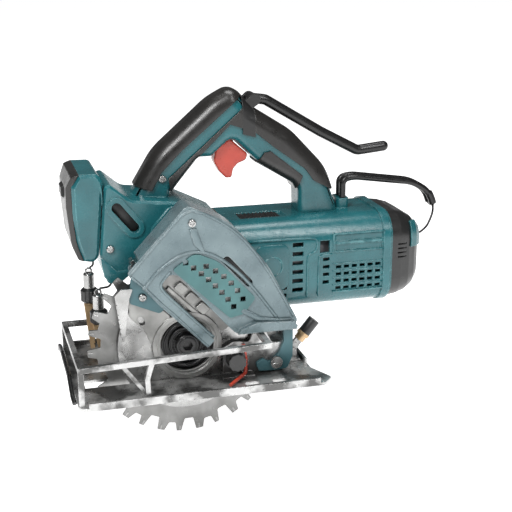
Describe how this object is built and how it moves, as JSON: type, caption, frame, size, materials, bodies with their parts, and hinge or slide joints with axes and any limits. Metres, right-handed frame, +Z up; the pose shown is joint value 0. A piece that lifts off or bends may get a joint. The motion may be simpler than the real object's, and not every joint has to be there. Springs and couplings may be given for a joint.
{
  "type": "circular saw",
  "caption": "Handheld cordless circular saw with inline motor, arched handle, ventilated blade cover, railed base and hanging hooks.",
  "frame": {"origin": "on the sole plane, straight under the spindle axis, in the mid-plane of motor and handle", "axes": "+X along the cut towards the motor end, +Y away from the blade side, +Z up out of the sole"},
  "size_m": [0.3511, 0.1485, 0.2875],
  "materials": {
    "teal_plastic": "injection-moulded, fine satin grain",
    "guard_paint": "satin grey-teal powder coat",
    "insert_paint": "satin green-teal coat",
    "bracket_paint": "satin teal coat",
    "grip_rubber": "soft-touch overmould",
    "black_plastic": "fine grain",
    "red_plastic": "semi-gloss",
    "blade_steel": "ground, slightly worn",
    "base_steel": "pressed steel, scuffed",
    "steel": "plain steel",
    "gear_steel": "oiled gear steel",
    "laminations": "stacked sheet",
    "black_steel": "black oxide",
    "cast_aluminium": "as cast, fine grain",
    "brass": "machined",
    "cord_black": "braided"
  },
  "bodies": {
    "base": {"base_plate": "base_steel", "guard_rail": "base_steel", "rail_posts": "base_steel", "end_bumper": "black_steel", "front_bracket": "base_steel", "cut_line_indicator": "red_plastic", "pivot_screw": "steel", "fence_pins": "brass", "pin_caps": "steel", "lever_stand": "base_steel", "lanyard_near": "cord_black", "lanyard_far": "cord_black"},
    "collar_near": {"pin_collar_near": "black_plastic"},
    "collar_far": {"pin_collar_far": "black_plastic"},
    "lever": {"lock_lever": "base_steel", "lever_nut": "brass", "lever_knob": "black_plastic"},
    "knob": {"clamp_knob": "black_plastic"},
    "top_hook": {"top_hook": "black_steel"},
    "trigger": {"trigger": "red_plastic"},
    "battery": {"battery_case": "teal_plastic", "battery_end_shell": "grip_rubber"},
    "latch": {"battery_latch": "black_plastic"},
    "lower_guard": {"lower_guard": "steel"},
    "spindle": {"blade": "blade_steel", "blade_flanges": "black_steel", "spindle": "steel", "arbor_bolt": "black_steel", "spindle_gear": "gear_steel"},
    "countershaft": {"countershaft": "gear_steel"},
    "idler": {"idler_gear": "gear_steel"},
    "armature": {"armature_shaft": "steel", "rotor_core": "laminations", "cooling_fan": "black_plastic"},
    "body": {"bearings": "steel", "stator": "laminations", "gear_case": "cast_aluminium", "gear_cover": "cast_aluminium", "motor_housing_near": "teal_plastic", "motor_housing_far": "teal_plastic", "motor_end_cap": "black_plastic", "end_cap_clip": "teal_plastic", "handle_shell_near": "teal_plastic", "handle_shell_far": "teal_plastic", "rear_grip": "grip_rubber", "inner_grip": "grip_rubber", "front_grip": "grip_rubber", "front_pad": "grip_rubber", "handle_band": "black_plastic", "bail_hook": "black_steel", "switch_body": "black_plastic", "upper_guard": "guard_paint", "guard_insert": "insert_paint", "guard_back": "guard_paint", "inner_baffle": "cast_aluminium", "casting_arm": "cast_aluminium", "bracket_plate": "bracket_paint", "depth_pointer": "steel", "front_leg": "bracket_paint", "screws": "steel"}
  },
  "joints": [
    {"name": "depth_pivot", "type": "hinge", "parent": "base", "child": "body", "pos_m": [0.076, -0.066, 0.012], "axis": [0, 1, 0], "range_deg": [0, 12], "deforming": ["lanyard_near", "lanyard_far"]},
    {"name": "blade_spin", "type": "hinge", "parent": "body", "child": "spindle", "pos_m": [0, -0.056, 0.033], "axis": [0, 1, 0], "continuous": true},
    {"name": "countershaft_spin", "type": "hinge", "parent": "body", "child": "countershaft", "pos_m": [0.01, -0.02, 0.086], "axis": [0, 1, 0], "continuous": true},
    {"name": "idler_spin", "type": "hinge", "parent": "body", "child": "idler", "pos_m": [-0.0043, -0.03, 0.06673], "axis": [0, 1, 0], "continuous": true},
    {"name": "armature_spin", "type": "hinge", "parent": "body", "child": "armature", "pos_m": [0.1, 0, 0.086], "axis": [1, 0, 0], "continuous": true},
    {"name": "lower_guard_swing", "type": "hinge", "parent": "body", "child": "lower_guard", "pos_m": [0, -0.056, 0.033], "axis": [0, -1, 0], "range_deg": [0, 150]},
    {"name": "trigger_pull", "type": "hinge", "parent": "body", "child": "trigger", "pos_m": [0.05, 0, 0.202], "axis": [0, 1, 0], "range_deg": [0, 9], "stiffness_Nm_per_rad": 0.8},
    {"name": "top_hook_fold", "type": "hinge", "parent": "body", "child": "top_hook", "pos_m": [0.074, 0, 0.228], "axis": [0, -1, 0], "range_deg": [0, 70]},
    {"name": "battery_slide", "type": "slide", "parent": "body", "child": "battery", "axis": [0.0905, 0, 0.9959], "range_m": [0, 0.07]},
    {"name": "latch_press", "type": "slide", "parent": "battery", "child": "latch", "axis": [1, 0, 0], "range_m": [0, 0.0025], "stiffness_N_per_m": 600},
    {"name": "lever_swing", "type": "hinge", "parent": "base", "child": "lever", "pos_m": [0.096, -0.046, 0.01], "axis": [0, 1, 0], "range_deg": [-15, 25]},
    {"name": "knob_turn", "type": "hinge", "parent": "base", "child": "knob", "pos_m": [0.037, -0.08, 0.023], "axis": [0, 1, 0], "range_deg": [-180, 180]},
    {"name": "collar_near_turn", "type": "hinge", "parent": "base", "child": "collar_near", "pos_m": [-0.0635, 0.014, 0.037], "axis": [0, 0, 1], "continuous": true},
    {"name": "collar_far_turn", "type": "hinge", "parent": "base", "child": "collar_far", "pos_m": [-0.0695, 0.028, 0.053], "axis": [0, 0, 1], "continuous": true}
  ],
  "couplings": [
    {"joint": "countershaft_spin", "follows": "armature_spin", "ratio": 0.5},
    {"joint": "idler_spin", "follows": "armature_spin", "ratio": -0.7},
    {"joint": "blade_spin", "follows": "armature_spin", "ratio": 0.29167}
  ]
}
